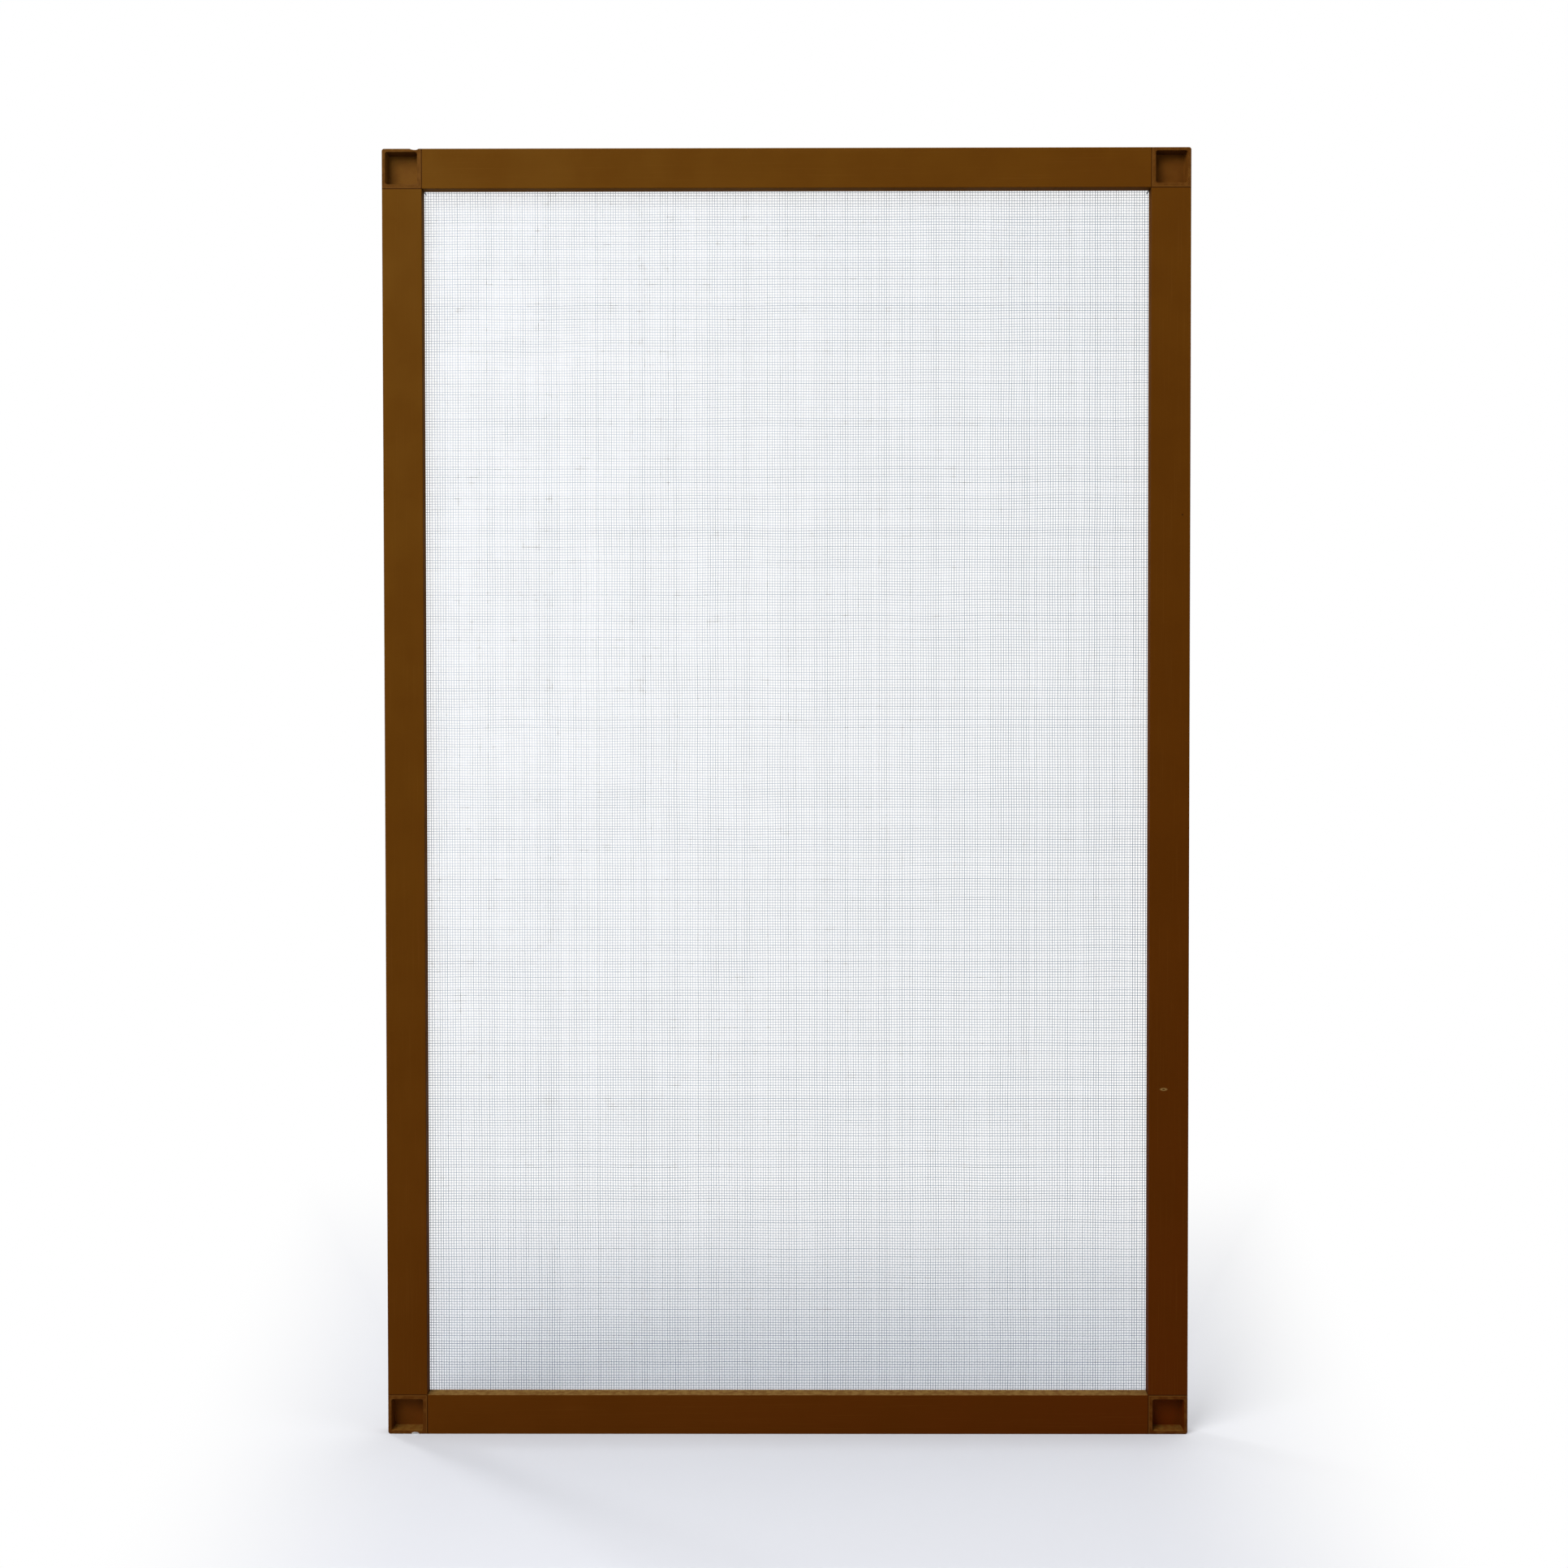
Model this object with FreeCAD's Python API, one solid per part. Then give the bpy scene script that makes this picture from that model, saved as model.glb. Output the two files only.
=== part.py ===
import FreeCAD, Part
import math
import os
from FreeCAD import Vector

# Window screen frame: four hollow rails plug onto four moulded corner connectors, and a woven
# mesh is stretched over the back of the opening and held in the rails' grooves by ribbed cords.
# Lengths are in millimetres. X runs across the frame, Z up it and Y from the front to the back.
# The origin is in the middle of the bottom edge.

# Outside of the frame
FRAME_WIDTH = 508.0
FRAME_HEIGHT = 813.0

# Rail section: width in the plane of the frame, depth from front to back, and walls
PROFILE_WIDTH = 25.0
PROFILE_DEPTH = 10.0
RAIL_WALL = 1.0
RAIL_EDGE_RADIUS = 0.4

# Cord groove in the back of a rail: the lip is the thin wall between groove and opening
LIP_WALL = 1.0
LIP_DROP = 1.0
LIP_RADIUS = 0.3
GROOVE_WIDTH = 5.0
GROOVE_DEPTH = 5.8
BARB_REACH = 0.4
BARB_HEIGHT = 0.9

# Corner connector: the block that shows, and the open cup in its front
BLOCK_OUTER_RADIUS = 1.5
BLOCK_EDGE_BEVEL = 0.35
CUP_OUTER_RIM = 2.1
CUP_INNER_RIM = 2.8
CUP_DEPTH = 7.6
CUP_DRAFT = 0.8
CUP_MOUTH_BEVEL = 0.2
CUP_FLOOR_BEVEL = 0.3
CUP_FLOOR_CORNER_RADIUS = 0.2

# Plug legs of a connector, which slide into the rails' main chambers
LEG_LENGTH = 34.0
LEG_CLEARANCE = 0.3
LEG_LEAD_IN = 2.0
LEG_TIP_TAPER = 0.8
LEG_EDGE_CHAMFER = 0.5
LEG_WALL = 1.8
LEG_ROOT = 1.5
LEG_POCKETS = 3
TOOTH_COUNT = 4
TOOTH_LENGTH = 2.4
TOOTH_CLEARANCE = 0.05

# Mesh sheet: a film with a plain grid of openings for the holes between the threads. The bands
# between the openings carry ridges that run like the threads.
MESH_FILM = 0.25
MESH_COLUMNS = 12
MESH_ROWS = 20
BAND_WIDTH = 6.6
BAND_RIDGES = 3
RIDGE_PITCH = 2.2
RIDGE_BASE = 1.4
RIDGE_TOP = 0.6
RIDGE_HEIGHT = 0.25
MESH_CLEARANCE = 0.05
MESH_TAIL = 2.0

# Ribbed cord that pins the mesh in the groove
CORD_CLEARANCE = 0.05
CORD_RIB_DEPTH = 0.25
CORD_RIBS = 12
CORD_END_GAP = 1.5

# Chips knocked out of the front edges of two connectors: width along the edge, depth, and the
# distance of the middle from the side that meets the rail
CHIPS = {
    "top_left": {"width": 5.6, "depth": 1.1, "from_rail": 4.6},
    "bottom_left": {"width": 5.0, "depth": 1.0, "from_rail": 7.4},
}

# Sizes that follow from the ones above
OPENING_WIDTH = FRAME_WIDTH - 2 * PROFILE_WIDTH
OPENING_HEIGHT = FRAME_HEIGHT - 2 * PROFILE_WIDTH
FRONT = -PROFILE_DEPTH / 2
BACK = PROFILE_DEPTH / 2
WEB_EDGE = LIP_WALL + GROOVE_WIDTH
CHAMBER_EDGE = WEB_EDGE + RAIL_WALL
GROOVE_FLOOR = PROFILE_DEPTH - GROOVE_DEPTH
LIP_END = PROFILE_DEPTH - LIP_DROP

# Distance under which two places count as one
FINE = 1e-6

# Angle about the depth axis that brings a piece drawn for the bottom, or for the bottom left
# corner, to each of its four places
SIDES = {"bottom": 0, "left": 90, "top": 180, "right": 270}
CORNERS = {"bottom_left": 0, "top_left": 90, "top_right": 180, "bottom_right": 270}
RAIL_NAMES = {"bottom": "bottom_rail", "left": "left_stile", "top": "top_rail", "right": "right_stile"}
SIDE_LENGTHS = {
    "bottom": OPENING_WIDTH,
    "left": OPENING_HEIGHT,
    "top": OPENING_WIDTH,
    "right": OPENING_HEIGHT,
}


def section_point(u, v):
    """Point of a rail section: u outwards from the opening's edge, v back from the front face."""
    return Vector(0, FRONT + v, -u)


def front_point(x, z, v):
    """Point x across and z up from the opening's corner, v back from the front face."""
    return Vector(x, FRONT + v, z)


def rounded_wire(corners):
    """Closed wire through (point, radius) corners, with a tangent arc at each radius above 0."""
    edges = []
    ends = []
    for index, (point, radius) in enumerate(corners):
        before = corners[index - 1][0] - point
        after = corners[(index + 1) % len(corners)][0] - point
        before.normalize()
        after.normalize()
        if radius <= 0:
            ends.append((point, point))
            continue
        half_angle = before.getAngle(after) / 2
        reach = radius / math.tan(half_angle)
        bisector = before + after
        bisector.normalize()
        middle = point + bisector * (radius / math.sin(half_angle) - radius)
        start = point + before * reach
        stop = point + after * reach
        edges.append(Part.Arc(start, middle, stop).toShape())
        ends.append((start, stop))
    for index, (_, stop) in enumerate(ends):
        start = ends[(index + 1) % len(ends)][0]
        if stop.distanceToPoint(start) > FINE:
            edges.append(Part.LineSegment(stop, start).toShape())
    return Part.Wire(Part.__sortEdges__(edges))


def sharp_face(points):
    """Flat face with straight sides through the points."""
    return Part.Face(Part.makePolygon(points + points[:1]))


def box_between(low, high):
    """Box with two opposite corners at low and high."""
    size = high - low
    return Part.makeBox(size.x, size.y, size.z, low)


def placed(shape, turn, outward):
    """Shape turned about the depth axis and moved to the opening's edge or corner that it serves.

    outward is the way that the edge or corner lies from the middle of the opening before the turn.
    """
    way = FreeCAD.Rotation(Vector(0, 1, 0), turn).multVec(outward)
    spot = Vector(way.x * OPENING_WIDTH / 2, 0, FRAME_HEIGHT / 2 + way.z * OPENING_HEIGHT / 2)
    return shape.rotated(Vector(), Vector(0, 1, 0), turn).translated(spot)


def placed_side(shape, side):
    """Shape drawn for the bottom of the opening, moved to one of its four sides."""
    return placed(shape, SIDES[side], Vector(0, 0, -1))


def placed_corner(shape, corner):
    """Shape drawn for the bottom left of the opening, moved to one of its four corners."""
    return placed(shape, CORNERS[corner], Vector(-1, 0, -1))


# Rails

def rail_outline():
    """Outside of the rail section, with the cord groove open to the back."""
    return rounded_wire([
        (section_point(0, 0), RAIL_EDGE_RADIUS),
        (section_point(PROFILE_WIDTH, 0), RAIL_EDGE_RADIUS),
        (section_point(PROFILE_WIDTH, PROFILE_DEPTH), RAIL_EDGE_RADIUS),
        (section_point(WEB_EDGE - BARB_REACH, PROFILE_DEPTH), 0),
        (section_point(WEB_EDGE, PROFILE_DEPTH - BARB_HEIGHT), 0),
        (section_point(WEB_EDGE, GROOVE_FLOOR), 0),
        (section_point(LIP_WALL, GROOVE_FLOOR), 0),
        (section_point(LIP_WALL, LIP_END), LIP_RADIUS),
        (section_point(0, LIP_END), LIP_RADIUS),
    ])


def chamber_outline(inner, outer, front, back):
    """Hollow of a rail between two distances from the opening and two depths."""
    return Part.makePolygon([
        section_point(inner, front),
        section_point(outer, front),
        section_point(outer, back),
        section_point(inner, back),
        section_point(inner, front),
    ])


def rail(length):
    """Hollow rail cut square at both ends, with its length along X."""
    inside = PROFILE_DEPTH - RAIL_WALL
    main = chamber_outline(CHAMBER_EDGE, PROFILE_WIDTH - RAIL_WALL, RAIL_WALL, inside)
    under_groove = chamber_outline(LIP_WALL, WEB_EDGE, RAIL_WALL, GROOVE_FLOOR - RAIL_WALL)
    section = Part.makeFace([rail_outline(), main, under_groove], "Part::FaceMakerBullseye")
    return section.extrude(Vector(length, 0, 0)).translated(Vector(-length / 2, 0, 0))


# Corner connectors

def corner_block():
    """Square block as wide and as deep as the rails, with its front and back edges bevelled."""
    far = -PROFILE_WIDTH
    outline = rounded_wire([
        (front_point(0, 0, 0), 0),
        (front_point(far, 0, 0), 0),
        (front_point(far, far, 0), BLOCK_OUTER_RADIUS),
        (front_point(0, far, 0), 0),
    ])
    block = Part.Face(outline).extrude(Vector(0, PROFILE_DEPTH, 0))
    return block.makeChamfer(BLOCK_EDGE_BEVEL, [edge for edge in block.Edges if edge.BoundBox.YLength < FINE])


def cup():
    """Space inside the cup: drafted walls between a bevelled mouth and a bevelled floor.

    The wall's profile starts at the axis of a corner. It is revolved there and extruded along the
    side that follows, and the two are turned to the four sides of the straight core.
    """
    radius = CUP_FLOOR_CORNER_RADIUS + CUP_FLOOR_BEVEL + CUP_DRAFT
    straight = (PROFILE_WIDTH - CUP_OUTER_RIM - CUP_INNER_RIM) / 2 - radius
    profile = sharp_face([
        front_point(0, 0, 0),
        front_point(radius + CUP_MOUTH_BEVEL, 0, 0),
        front_point(radius, 0, CUP_MOUTH_BEVEL),
        front_point(radius - CUP_DRAFT, 0, CUP_DEPTH - CUP_FLOOR_BEVEL),
        front_point(CUP_FLOOR_CORNER_RADIUS, 0, CUP_DEPTH),
        front_point(0, 0, CUP_DEPTH),
    ]).translated(Vector(straight, 0, -straight))
    corner = profile.revolve(Vector(straight, 0, -straight), Vector(0, 1, 0), 90)
    side = profile.extrude(Vector(0, 0, 2 * straight))
    core = box_between(Vector(-straight, FRONT, -straight), Vector(straight, FRONT + CUP_DEPTH, straight))
    walls = [
        shape.rotated(Vector(), Vector(0, 1, 0), turn)
        for shape in (corner, side)
        for turn in CORNERS.values()
    ]
    middle = (CUP_OUTER_RIM - CUP_INNER_RIM - PROFILE_WIDTH) / 2
    return core.fuse(walls).removeSplitter().translated(Vector(middle, 0, middle))


def leg_tooth(x, root, tip):
    """Saw tooth across a leg's narrow side, rising from root to tip towards the block."""
    half = PROFILE_DEPTH / 2 - RAIL_WALL - LEG_CLEARANCE - LEG_EDGE_CHAMFER
    base = Vector(x, -half, root)
    return sharp_face([
        base,
        Vector(x, -half, tip),
        Vector(x + TOOTH_LENGTH, -half, root),
    ]).extrude(Vector(0, 2 * half, 0))


def leg_outline(x, inset):
    """Rectangle of the leg across its length at x, with its corners cut and drawn in by inset."""
    low = -(PROFILE_WIDTH - RAIL_WALL - LEG_CLEARANCE) + inset
    high = -(CHAMBER_EDGE + LEG_CLEARANCE) - inset
    deep = PROFILE_DEPTH / 2 - RAIL_WALL - LEG_CLEARANCE - inset
    cut = LEG_EDGE_CHAMFER
    return Part.makePolygon([
        Vector(x, -deep, low + cut),
        Vector(x, -deep, high - cut),
        Vector(x, -deep + cut, high),
        Vector(x, deep - cut, high),
        Vector(x, deep, high - cut),
        Vector(x, deep, low + cut),
        Vector(x, deep - cut, low),
        Vector(x, -deep + cut, low),
        Vector(x, -deep, low + cut),
    ])


def plug_leg():
    """Leg for the bottom rail: cored from the back, with a tapered tip and gripping teeth."""
    outer = -(PROFILE_WIDTH - RAIL_WALL - LEG_CLEARANCE)
    inner = -(CHAMBER_EDGE + LEG_CLEARANCE)
    front = FRONT + RAIL_WALL + LEG_CLEARANCE
    leg = Part.makeLoft([
        leg_outline(-LEG_ROOT, 0),
        leg_outline(LEG_LENGTH - LEG_LEAD_IN, 0),
        leg_outline(LEG_LENGTH, LEG_TIP_TAPER),
    ], True, True)

    pitch = (LEG_LENGTH - LEG_WALL) / LEG_POCKETS
    for index in range(LEG_POCKETS):
        start = LEG_WALL + index * pitch
        pocket = box_between(
            Vector(start, front + LEG_WALL, outer + LEG_WALL),
            Vector(start + pitch - LEG_WALL, BACK, inner - LEG_WALL),
        )
        leg = leg.cut(pocket)

    tooth_pitch = (LEG_LENGTH - 2 * LEG_LEAD_IN) / TOOTH_COUNT
    reach = LEG_CLEARANCE - TOOTH_CLEARANCE
    teeth = []
    for index in range(TOOTH_COUNT):
        x = LEG_LEAD_IN + index * tooth_pitch
        teeth.append(leg_tooth(x, outer, outer - reach))
        teeth.append(leg_tooth(x, inner, inner + reach))
    return leg.fuse(teeth)


def corner_connector():
    """Bottom left connector: cupped block with one leg along each of the rails it joins."""
    leg = plug_leg()
    upright_leg = leg.mirror(Vector(), Vector(1, 0, -1))
    return corner_block().fuse([leg, upright_leg]).cut(cup()).removeSplitter()


def chip(corner):
    """Ball that bites a shallow chip out of the outer front edge of a corner block."""
    size = CHIPS[corner]
    half = size["width"] / 2
    radius = (half * half + size["depth"] ** 2) / (2 * size["depth"])
    x = -OPENING_WIDTH / 2 - size["from_rail"]
    outside = radius - size["depth"]
    z = FRAME_HEIGHT + outside if corner.startswith("top") else -outside
    return Part.makeSphere(radius, Vector(x, FRONT, z))


# Mesh

def wrap_points():
    """Edge of the mesh as (u, v): over the lip, down it, under the cord and up the web."""
    near = LIP_WALL + MESH_CLEARANCE
    far = WEB_EDGE - MESH_CLEARANCE
    floor = GROOVE_FLOOR + MESH_CLEARANCE
    tail = floor + MESH_TAIL
    return [
        (0, LIP_END),
        (near, LIP_END),
        (near, floor),
        (far, floor),
        (far, tail),
        (far - MESH_FILM, tail),
        (far - MESH_FILM, floor + MESH_FILM),
        (near + MESH_FILM, floor + MESH_FILM),
        (near + MESH_FILM, LIP_END + MESH_FILM),
        (0, LIP_END + MESH_FILM),
    ]


def ridge_middles(across, count):
    """Middles of the ridges on the bands beside a number of openings.

    The band at each edge is half as wide, and keeps only the ridges that fit on it.
    """
    first = -(BAND_RIDGES - 1) / 2 * RIDGE_PITCH
    middles = [
        band * across / count - across / 2 + first + ridge * RIDGE_PITCH
        for band in range(count + 1)
        for ridge in range(BAND_RIDGES)
    ]
    return [middle for middle in middles if abs(middle) < (across - RIDGE_BASE) / 2]


def ridge_points(middles, base, top):
    """Row of tapered ridges as (distance, v)."""
    points = []
    for middle in middles:
        points += [
            (middle - RIDGE_BASE / 2, base),
            (middle - RIDGE_TOP / 2, top),
            (middle + RIDGE_TOP / 2, top),
            (middle + RIDGE_BASE / 2, base),
        ]
    return points


def mesh_layer(across, count, along, base, top):
    """Half of the film's thickness with ridges on its outer face and its wrapped edges beside it.

    across is the width over the ridges, count the number of openings in it, and along the length
    of the ridges, which runs along Z.
    """
    middle = LIP_END + MESH_FILM / 2
    ridges = ridge_points(ridge_middles(across, count), base, top)
    right = [(across / 2 + u, v) for u, v in wrap_points()]
    left = [(-distance, v) for distance, v in right]
    if top < base:
        outline = ridges + right + [(across / 2, middle), (-across / 2, middle)]
        outline += left[::-1]
    else:
        outline = ridges + right[::-1] + [(across / 2, middle), (-across / 2, middle)]
        outline += left
    layer = sharp_face([Vector(distance, FRONT + v, 0) for distance, v in outline])
    return layer.extrude(Vector(0, 0, along)).translated(Vector(0, 0, -along / 2))


def mesh_openings():
    """Grid of openings through the mesh, a band's width apart."""
    across = OPENING_WIDTH / MESH_COLUMNS
    upright = OPENING_HEIGHT / MESH_ROWS
    half = Vector(across - BAND_WIDTH, PROFILE_DEPTH, upright - BAND_WIDTH) / 2
    openings = []
    for column in range(MESH_COLUMNS):
        for row in range(MESH_ROWS):
            x = (column + 0.5) * across - OPENING_WIDTH / 2
            z = (row + 0.5) * upright - OPENING_HEIGHT / 2
            openings.append(box_between(Vector(x, 0, z) - half, Vector(x, 0, z) + half))
    return openings


def screen_mesh():
    """Stretched mesh: upright ridges in front, level ridges behind and its edges in the grooves."""
    back = LIP_END + MESH_FILM
    upright = mesh_layer(OPENING_WIDTH, MESH_COLUMNS, OPENING_HEIGHT, LIP_END, LIP_END - RIDGE_HEIGHT)
    level = mesh_layer(OPENING_HEIGHT, MESH_ROWS, OPENING_WIDTH, back, back + RIDGE_HEIGHT)
    level = level.rotated(Vector(), Vector(0, 1, 0), 90)
    sheet = upright.fuse(level).cut(mesh_openings()).removeSplitter()
    return sheet.translated(Vector(0, 0, FRAME_HEIGHT / 2))


# Cords

def cord(length):
    """Ribbed cord lying along the bottom groove on the mesh that lines it."""
    room = GROOVE_WIDTH - 2 * (MESH_CLEARANCE + MESH_FILM)
    radius = room / 2 - CORD_CLEARANCE
    u = LIP_WALL + GROOVE_WIDTH / 2
    v = GROOVE_FLOOR + MESH_CLEARANCE + MESH_FILM + CORD_CLEARANCE + radius
    points = []
    for index in range(2 * CORD_RIBS):
        angle = math.pi * index / CORD_RIBS
        reach = radius if index % 2 == 0 else radius - CORD_RIB_DEPTH
        points.append(section_point(u + reach * math.cos(angle), v + reach * math.sin(angle)))
    run = length - 2 * CORD_END_GAP
    return sharp_face(points).extrude(Vector(run, 0, 0)).translated(Vector(-run / 2, 0, 0))


# Assembly

def build():
    """Every piece of the frame, by name."""
    pieces = {}
    for side, length in SIDE_LENGTHS.items():
        pieces[RAIL_NAMES[side]] = placed_side(rail(length), side)
        pieces["cord_" + side] = placed_side(cord(length), side)
    for corner in CORNERS:
        connector = placed_corner(corner_connector(), corner)
        if corner in CHIPS:
            connector = connector.cut(chip(corner))
        pieces["corner_" + corner] = connector
    pieces["screen_mesh"] = screen_mesh()
    return pieces


os.makedirs("parts", exist_ok=True)
for name, shape in build().items():
    solid = shape.Solids[0]
    print(name, "valid" if shape.isValid() and len(shape.Solids) == 1 else "BROKEN", round(shape.Volume, 1))
    solid.exportStep("parts/" + name + ".step")
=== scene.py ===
"""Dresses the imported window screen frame: coated rails, moulded connectors, ribbed cords, woven mesh."""

import logging
import math
from dataclasses import dataclass
from enum import Enum
from typing import Any

import bpy
import numpy as np
from mathutils import Matrix, Vector


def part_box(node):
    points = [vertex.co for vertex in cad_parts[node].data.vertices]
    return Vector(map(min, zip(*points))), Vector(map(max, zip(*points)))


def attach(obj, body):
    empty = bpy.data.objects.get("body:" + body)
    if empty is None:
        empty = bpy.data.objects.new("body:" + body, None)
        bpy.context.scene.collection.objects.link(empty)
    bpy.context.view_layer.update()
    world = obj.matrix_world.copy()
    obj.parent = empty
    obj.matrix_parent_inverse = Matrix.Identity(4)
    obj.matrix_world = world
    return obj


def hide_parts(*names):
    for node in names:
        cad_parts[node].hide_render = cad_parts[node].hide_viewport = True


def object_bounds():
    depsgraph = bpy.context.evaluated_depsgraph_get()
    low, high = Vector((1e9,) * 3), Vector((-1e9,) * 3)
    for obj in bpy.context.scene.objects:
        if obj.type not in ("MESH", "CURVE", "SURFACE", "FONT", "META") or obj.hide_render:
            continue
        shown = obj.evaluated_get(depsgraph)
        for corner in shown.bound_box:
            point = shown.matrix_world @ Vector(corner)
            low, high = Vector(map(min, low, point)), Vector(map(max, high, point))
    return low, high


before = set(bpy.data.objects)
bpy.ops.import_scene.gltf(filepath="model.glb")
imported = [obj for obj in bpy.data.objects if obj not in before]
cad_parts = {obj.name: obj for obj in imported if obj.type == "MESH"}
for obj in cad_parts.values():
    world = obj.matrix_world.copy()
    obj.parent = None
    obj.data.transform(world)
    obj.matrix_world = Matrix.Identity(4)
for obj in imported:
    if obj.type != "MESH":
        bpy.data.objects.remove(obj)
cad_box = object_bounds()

MM = 0.001
BODY = "root"
SEED = 4127
# the point attribute that holds each thread's own tone
TONE = "thread_tone"

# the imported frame's outline, and the rails' width, by which marks and wear are placed
HALF_WIDTH, FRONT, HEIGHT = cad_box[1][0], cad_box[0][1], cad_box[1][2]
FACE = 25 * MM
MIDDLE = HEIGHT / 2

# how a MapRange node gives a soft step instead of a straight ramp
SMOOTH = {"interpolation_type": "SMOOTHSTEP"}

log = logging.getLogger("screen")


# Small helpers


def linear(hex_colour: str) -> tuple[float, float, float, float]:
    """Turns an sRGB hex colour to linear light, by the sRGB standard's own numbers.

    Args:
        hex_colour: Six hex digits after a hash sign.

    Returns:
        Red, green, blue and an alpha of 1.
    """
    parts = [int(hex_colour[start:start + 2], 16) / 255 for start in (1, 3, 5)]
    red, green, blue = (part / 12.92 if part <= 0.04045 else ((part + 0.055) / 1.055) ** 2.4 for part in parts)
    return red, green, blue, 1.0


def feed(tree: bpy.types.NodeTree, source: Any, socket: bpy.types.NodeSocket) -> None:
    """Puts something into an input.

    Args:
        tree: The node tree.
        source: A node, for its first output in use, or one of its outputs, or a value.
        socket: The input.
    """
    if isinstance(source, bpy.types.Node):
        source = next(output for output in source.outputs if output.enabled)
    if isinstance(source, bpy.types.NodeSocket):
        tree.links.new(source, socket)
    else:
        socket.default_value = source


def add(tree: bpy.types.NodeTree, kind: str, links: Any = (), **settings: Any) -> bpy.types.Node:
    """Adds one node to a tree.

    Args:
        tree: The material's or the world's node tree.
        kind: The node's type, without the words ShaderNode.
        links: What feeds its inputs: a row for the first ones in order, or a dictionary by name or
            number. A MapRange's row is its value, the range it comes in, and the range it goes to.
        settings: The node's own settings by name.

    Returns:
        The new node.
    """
    node = tree.nodes.new("ShaderNode" + kind)
    for name, value in settings.items():
        setattr(node, name, value)
    for name, source in links.items() if isinstance(links, dict) else enumerate(links):
        feed(tree, source, node.inputs[name])
    return node


def mesh_piece(name: str, points: np.ndarray, quads: np.ndarray, uv: np.ndarray | None = None) -> bpy.types.Object:
    """Puts whole arrays of points and faces into one smooth mesh piece that rides on the frame.

    Args:
        name: The piece's name.
        points: One row of x, y and z in metres for each vertex.
        quads: Four vertex numbers for each face, outside seen anticlockwise. A triangle repeats its last number.
        uv: One row of u and v for each corner of each face, or nothing.

    Returns:
        The object, at the origin.
    """
    is_triangle = quads[:, 2] == quads[:, 3]
    keep = np.ones(quads.shape, dtype=bool)
    keep[is_triangle, 3] = False
    corners = np.where(is_triangle, 3, 4)
    loops = quads[keep].astype(np.int32)
    mesh = bpy.data.meshes.new(name)
    mesh.vertices.add(len(points))
    mesh.vertices.foreach_set("co", points.astype(np.float32).reshape(-1))
    mesh.loops.add(len(loops))
    mesh.loops.foreach_set("vertex_index", loops)
    mesh.polygons.add(len(quads))
    mesh.polygons.foreach_set("loop_start", np.concatenate([[0], np.cumsum(corners)[:-1]]).astype(np.int32))
    mesh.polygons.foreach_set("use_smooth", np.ones(len(quads), dtype=bool))
    mesh.update(calc_edges=True)
    if uv is not None:
        layer = mesh.uv_layers.new(name="OFBake")
        layer.data.foreach_set("uv", uv[keep].astype(np.float32).reshape(-1))
    mesh.validate()
    piece = bpy.data.objects.new(name, mesh)
    bpy.context.scene.collection.objects.link(piece)
    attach(piece, BODY)
    return piece


def swept(lines: np.ndarray, reference: np.ndarray, radius: np.ndarray) -> tuple[np.ndarray, np.ndarray, np.ndarray]:
    """Carries a small triangle along many lines at once, and closes both ends.

    A vertex is the line's point plus radius times the cosine of its angle across the line plus
    radius times the sine of its angle along the reference that is square to the line.

    Args:
        lines: Points of the lines, as (lines, nodes, 3).
        reference: A direction that no line runs along.
        radius: The triangle's radius in metres, one for each line.

    Returns:
        The vertices, the faces as quads, and u and v for each corner: u runs along the line, and
        each line has a strip of v of its own.
    """
    count, nodes, _ = lines.shape
    sides = 3
    along = np.gradient(lines, axis=1)
    along /= np.linalg.norm(along, axis=2, keepdims=True)
    across = np.cross(along, reference)
    across /= np.linalg.norm(across, axis=2, keepdims=True)
    square = np.cross(along, across)
    angle = 2 * math.pi * (np.arange(sides) + 0.5) / sides + math.pi / 2
    turned = (np.cos(angle)[None, None, :, None] * across[:, :, None, :]
              + np.sin(angle)[None, None, :, None] * square[:, :, None, :])
    points = (lines[:, :, None, :] + radius[:, None, None, None] * turned).reshape(-1, 3)
    line, node, side = np.meshgrid(np.arange(count), np.arange(nodes - 1), np.arange(sides), indexing="ij")
    first = (line * nodes + node) * sides
    quads = np.stack([first + side, first + (side + 1) % sides,
                      first + sides + (side + 1) % sides, first + sides + side], axis=-1).reshape(-1, 4)
    u_low, u_high = node / (nodes - 1), (node + 1) / (nodes - 1)
    v_low, v_high = (line + side / sides) / count, (line + (side + 1) / sides) / count
    uv = np.stack([np.stack([u_low, v_low], -1), np.stack([u_low, v_high], -1),
                   np.stack([u_high, v_high], -1), np.stack([u_high, v_low], -1)], axis=-2).reshape(-1, 4, 2)
    # the two end triangles of each line
    start = np.arange(count) * nodes * sides
    finish = start + (nodes - 1) * sides
    caps = np.concatenate([np.stack([start + 2, start + 1, start, start], axis=1),
                           np.stack([finish, finish + 1, finish + 2, finish + 2], axis=1)])
    row = np.tile(np.arange(count), 2)
    end = np.repeat([0.0, 1.0], count)
    cap_uv = np.repeat(np.stack([end, (row + 0.5) / count], axis=1)[:, None, :], 4, axis=1)
    return points, np.concatenate([quads, caps]), np.concatenate([uv, cap_uv])


# Finishes


class Run(Enum):
    """Which way a rail was drawn through its die, and the fine lines on it run."""

    LEVEL = "level"
    UPRIGHT = "upright"


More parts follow.
